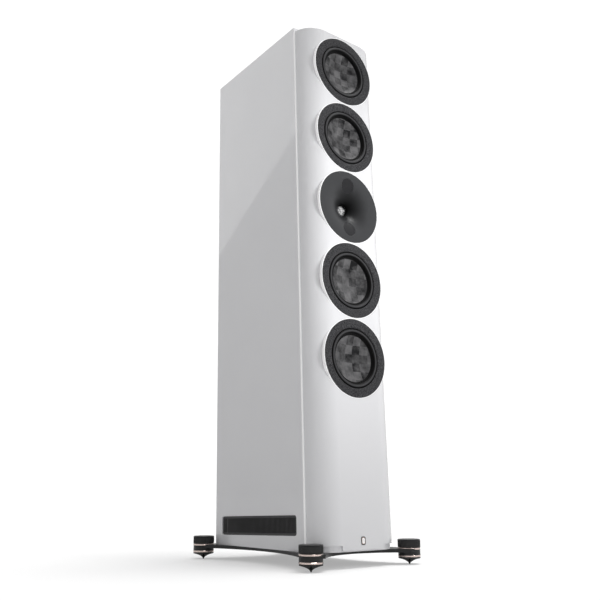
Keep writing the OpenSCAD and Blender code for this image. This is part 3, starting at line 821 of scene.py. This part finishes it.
def vent_frame(place, length, height, cy, cz, x):
    """The vent's rounded frame, with a small bevel on both of its front edges."""
    def ring(inset, corner):
        return rounded_outline(length - 2 * inset, height - 2 * inset, corner, cy, cz)

    outer, inner = ring(0, VENT_CORNER), ring(FRAME_W, VENT_CORNER - 3)
    levels = [(outer, x - VENT_DEPTH), (outer, x - FRAME_BEVEL),
              (ring(FRAME_BEVEL, VENT_CORNER - FRAME_BEVEL), x),
              (ring(FRAME_W - FRAME_BEVEL, VENT_CORNER - 3 + FRAME_BEVEL), x),
              (inner, x - FRAME_BEVEL), (inner, x - VENT_DEPTH)]
    verts = [(a * MM, b * MM, h * MM) for outline, h in levels for a, b in outline]
    count = len(outer)
    faces = []
    for i in range(len(levels)):
        j = (i + 1) % len(levels)
        faces += [[i * count + k, i * count + (k + 1) % count, j * count + (k + 1) % count, j * count + k]
                  for k in range(count)]
    return new_piece("frame", verts, faces, place)


def vent_fins(side, length, height, cy, cz, x):
    """Upright fins, the fourth from the rear wider and nearer the surface."""
    upright = Matrix((BACK, RIGHT * side, UP)).transposed().to_4x4()
    bay = length - 2 * FRAME_W
    low, high = cz - height / 2 + FRAME_W - 0.5, cz + height / 2 - FRAME_W + 0.5
    count = int(bay / FIN_PITCH)
    fins = []
    for i in range(count):
        at = cy - bay / 2 + bay * (i + 0.5) / count
        wide, sink = (3.6, 0.3) if i == count - 4 else (FIN_T, 1.2)
        root, top = x - VENT_DEPTH, x - sink
        corners = [(at - wide / 2, root), (at + wide / 2, root), (at + wide / 2, top), (at - wide / 2, top)]
        fins.append(prism("fin", soften(corners, 0.5), low, high, upright))
    return fins


def vent_grille(side, finishes):
    """A frame in the panel's opening, with fins in it and a dark baffle behind."""
    node = "vent_grille_left" if side < 0 else "vent_grille_right"
    y0, y1 = (v / MM for v in span(node, BACK))
    z0, z1 = (v / MM for v in span(node, UP))
    x = abs(span(node, RIGHT)[0 if side < 0 else 1]) / MM
    length, height, cy, cz = y1 - y0, z1 - z0, (y0 + y1) / 2, (z0 + z1) / 2
    place = Matrix((BACK, UP, RIGHT * side)).transposed().to_4x4()
    parts = [vent_frame(place, length, height, cy, cz, x)] + vent_fins(side, length, height, cy, cz, x)
    finish_piece(join(f"{node}_fins", parts), finishes["grille_black"], ROOT, node)
    sheet = rounded_outline(length - 4, height - 4, 4, cy, cz)
    backing = prism(f"{node}_cloth", sheet, x - 9, x - 7, place)
    finish_piece(backing, finishes["port_cloth"], ROOT)


# ---- Feet ----

KNURLS = 84
SHAFT_R = 6
SHAFT_BORE = 6.05


def foot_centre(number):
    low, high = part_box(f"foot_knob_{number}")
    return Matrix.Translation(((low.x + high.x) / 2, (low.y + high.y) / 2, 0))


def hand_wheel(number, finishes):
    """A knurled wheel between two plain rims, round the spike's shaft."""
    knob = f"foot_knob_{number}"
    low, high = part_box(knob)
    radius = (high.x - low.x) / 2 / MM
    z0, z1 = low.z / MM, high.z / MM
    grip0, grip1 = z0 + 2.2, z1 - 3.0

    def ripple(r, z, turn):
        if r < radius - 0.5 or not grip0 <= z <= grip1:
            return r
        return r - 0.45 * (0.5 + 0.5 * math.cos(KNURLS * turn)) ** 0.7

    lower = [(SHAFT_BORE, z0), (radius - 0.6, z0), (radius, z0 + 0.6), (radius, z0 + 1.6),
             (radius - 0.9, z0 + 1.9)]
    grip = [(radius, grip0 + (grip1 - grip0) * s / 4) for s in range(5)]
    upper = [(radius - 0.9, grip1 + 0.3), (radius, grip1 + 0.7), (radius, z1 - 1.1), (radius - 0.3, z1 - 0.4),
             (radius - 1.1, z1)]
    top = [(radius - 4, z1), (radius - 4.4, z1 - 0.5), (0, z1 - 0.5), (0, z1 - 3.6), (SHAFT_BORE, z1 - 3.6)]
    profile = lower + grip + upper + top
    wheel = lathe(f"hand_wheel_knurled_{number}", profile, foot_centre(number), KNURLS * 6, ripple, sharp=40)
    finish_piece(wheel, finishes["knob_black"], f"hand_wheel_{number}", knob)


def spike_cone(number, finishes):
    """A flared cone down to a blunt point, on a shaft."""
    spike = f"foot_spike_{number}"
    low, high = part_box(spike)
    reach = (high.x - low.x) / 2 / MM
    shaft_top = high.z / MM
    flare_z, tip = 15, 1.4
    flare = [(tip + (reach - tip) * (s / 24) ** 2.2, (flare_z - 2.5) * s / 24) for s in range(25)]
    shoulder = [(reach, flare_z - 0.4), (reach - 0.4, flare_z)]
    shaft = [(SHAFT_R, flare_z), (SHAFT_R, shaft_top - 1), (SHAFT_R - 1, shaft_top), (0, shaft_top)]
    outline = [(0, 0)] + flare + shoulder + shaft
    cone = lathe(f"spike_cone_{number}", outline, foot_centre(number), 120)
    finish_piece(cone, finishes["spike_black"], f"spike_{number}", spike)


def foot_rings(finishes):
    """Polished rings above and below the boss on each arm, with a fine groove round each."""
    parts = []
    inner, outer, groove = 6.5, 25, 0.25
    for number in (1, 2, 3, 4):
        for z0, z1 in ((15.6, 19.7), (31.0, 35.1)):
            mid = (z0 + z1) / 2
            outline = [(inner, z0), (outer - 0.8, z0), (outer, z0 + 0.8), (outer, mid - groove),
                       (outer - 0.3, mid), (outer, mid + groove), (outer, z1 - 0.8), (outer - 0.8, z1),
                       (inner, z1)]
            parts.append(lathe("ring", soften(outline, 0.25), foot_centre(number), 120))
    finish_piece(join("foot_rings_polished", parts), finishes["rose_gold"], ROOT, "foot_rings")


# ---- Seam beads and badge ----

BEAD_R = 2.6
BEAD_PROUD = 0.9


def seam_bead(side, finishes):
    """A thin bead in the seam between a side panel and the baffle, bright from the glowing white finish: a painted
    highlight.
    """
    word = "left" if side < 0 else "right"
    panel = f"side_panel_{word}"
    x = span(panel, RIGHT * side)[1] / MM - BEAD_R + BEAD_PROUD
    y = span(panel, BACK)[0] / MM
    bottom = span(panel, UP)[0] / MM + CORNER_GAP + 1
    top = span("front_baffle", UP)[1] / MM - 1
    outline = arc(side * x, y, BEAD_R, 0, 330, 11)
    bead = prism(f"seam_bead_{word}", outline, bottom, top, PLAN)
    finish_piece(bead, finishes["painted_highlight_white"], ROOT)


def badge(finishes):
    """A generic mark: a dark rounded tile with a polished rim and a pale centre, which glows a little: a painted
    highlight.
    """
    place = on_face("front_badge")
    tile = prism("badge_tile", rounded_outline(12.5, 17, 4), 0.02, 0.6, place)
    finish_piece(tile, finishes["knob_black"], ROOT, "front_badge")
    rim = prism("badge_rim", rounded_outline(8.8, 13.2, 2.8), 0.5, 0.85, place)
    finish_piece(rim, finishes["rose_gold"], ROOT)
    heart = prism("badge_heart", rounded_outline(6.2, 10.4, 2.2), 0.5, 1.0, place)
    finish_piece(heart, finishes["painted_highlight_white"], ROOT)


# ---- Nodes that keep their CAD shape ----

BEVELS = {"side_panel_left": 0.7, "side_panel_right": 0.7, "top_panel": 0.5, "back_panel": 0.5,
          "bottom_panel": 0.4, "base_plate": 0.9, "terminal_plate": 0.8, "terminal_studs": 0.3,
          "woofer_screws": 0.3}


def dress_nodes(finishes):
    """Gives every CAD node its finish, and a bevel to those that show one."""
    for name, node in NODES.items():
        node.data.materials.clear()
        node.data.materials.append(finishes[SLOTS[name]])
        if name in BEVELS:
            bevel(node, BEVELS[name])


# ---- Stage and light ----

FLOOR_LIFT = 0.38
BRIGHT_SIDE = (0.75, -0.6, 0.28)
BACKDROP = 1.1
SUN_FROM = (0.22, -0.08, 1)
LAMP_AT = Vector((0.9, -2.2, 1.2))
LAMP_AIM = Vector((0, -0.2, 0.78))
CARD_EDGE = Vector((0, 0.835, -0.55))
CARD_RISE = Vector((0, 0.55, 0.835))
CARD_AT = Vector((-1.114, 1.456, 1.65)) + CARD_RISE * 0.45


def seen_directly(tree):
    """1 where the camera sees the surface itself, and 0 where it only lights or is reflected."""
    return tree.nodes.new("ShaderNodeLightPath").outputs["Is Camera Ray"]


def make_floor():
    floor = new_piece("floor", [(-30, -30, 0), (30, -30, 0), (30, 30, 0), (-30, 30, 0)], [(0, 1, 2, 3)])
    f = Finish("floor_white", (0.6, 0.6, 0.6), 0.8, specular=0.0)
    f.colour_by(f.noise(0.5, 3), (0.597, 0.597, 0.597), (0.603, 0.603, 0.603))
    f.shader.inputs["Emission Color"].default_value = (1, 1, 1, 1)
    f.link(f.math("MULTIPLY", seen_directly(f.tree), FLOOR_LIFT), f.shader.inputs["Emission Strength"])
    floor.data.materials.append(f.material)


def area_light(name, at, facing, along, width, height, power):
    """A rectangular lamp at a place, facing a direction, with its width along another."""
    light = bpy.data.objects.new(name, bpy.data.lights.new(name, "AREA"))
    light.data.shape = "RECTANGLE"
    light.data.size = width
    light.data.size_y = height
    light.data.energy = power
    z = -Vector(facing).normalized()
    x = (Vector(along) - z * z.dot(Vector(along))).normalized()
    light.matrix_world = Matrix.Translation(at) @ Matrix((x, z.cross(x), z)).transposed().to_4x4()
    bpy.context.scene.collection.objects.link(light)


def make_world():
    """White behind the speaker as seen; as light, brightest from the front right and dim elsewhere."""
    world = bpy.data.worlds.new("studio")
    bpy.context.scene.world = world
    world.use_nodes = True
    tree = world.node_tree
    background = tree.nodes["Background"]
    background.inputs["Color"].default_value = (1, 1, 1, 1)
    coords = tree.nodes.new("ShaderNodeTexCoord")
    dot = tree.nodes.new("ShaderNodeVectorMath")
    dot.operation = "DOT_PRODUCT"
    dot.inputs[1].default_value = Vector(BRIGHT_SIDE).normalized()
    tree.links.new(coords.outputs["Generated"], dot.inputs[0])
    ramp = tree.nodes.new("ShaderNodeMapRange")
    ramp.interpolation_type = "SMOOTHSTEP"
    for key, value in (("From Min", -0.1), ("From Max", 0.95), ("To Min", 0.43), ("To Max", 0.66)):
        ramp.inputs[key].default_value = value
    tree.links.new(dot.outputs["Value"], ramp.inputs["Value"])
    pick = tree.nodes.new("ShaderNodeMix")
    tree.links.new(seen_directly(tree), pick.inputs["Factor"])
    tree.links.new(ramp.outputs["Result"], pick.inputs[2])
    pick.inputs[3].default_value = BACKDROP
    tree.links.new(pick.outputs[0], background.inputs["Strength"])


def make_lights():
    """A soft overhead sun, a lamp on the front that isn't reflected, and a card that the side reflects."""
    sun = bpy.data.objects.new("overhead", bpy.data.lights.new("overhead", "SUN"))
    sun.data.energy = 1.9
    sun.data.angle = math.radians(32)
    sun.rotation_euler = Vector(SUN_FROM).to_track_quat("Z", "Y").to_euler()
    bpy.context.scene.collection.objects.link(sun)
    lamp = bpy.data.objects.new("upper_front", bpy.data.lights.new("upper_front", "SPOT"))
    lamp.data.energy = 133
    lamp.data.spot_size = math.radians(32.5)
    lamp.data.spot_blend = 1.0
    lamp.data.shadow_soft_size = 0.3
    lamp.visible_glossy = False
    lamp.location = LAMP_AT
    lamp.rotation_euler = (LAMP_AT - LAMP_AIM).to_track_quat("Z", "Y").to_euler()
    bpy.context.scene.collection.objects.link(lamp)
    area_light("side_card", CARD_AT, RIGHT, CARD_EDGE, 1.7, 0.9, 3.6)


def main():
    bpy.context.scene.view_settings.view_transform = "Standard"
    make_camera()
    finishes = make_finishes()
    seam_bead(-1, finishes)
    seam_bead(1, finishes)
    dress_nodes(finishes)
    front_baffle(finishes)
    pod_rims(finishes)
    baffle_plinth(finishes)
    trim_rings(finishes)
    for number in (1, 2, 3, 4):
        woofer(number, finishes)
        hand_wheel(number, finishes)
        spike_cone(number, finishes)
    waveguide(finishes)
    tweeter(finishes)
    midrange(1, "upper", finishes)
    midrange(-1, "lower", finishes)
    for side in (-1, 1):
        vent_grille(side, finishes)
    foot_rings(finishes)
    badge(finishes)
    make_floor()
    make_world()
    make_lights()


main()
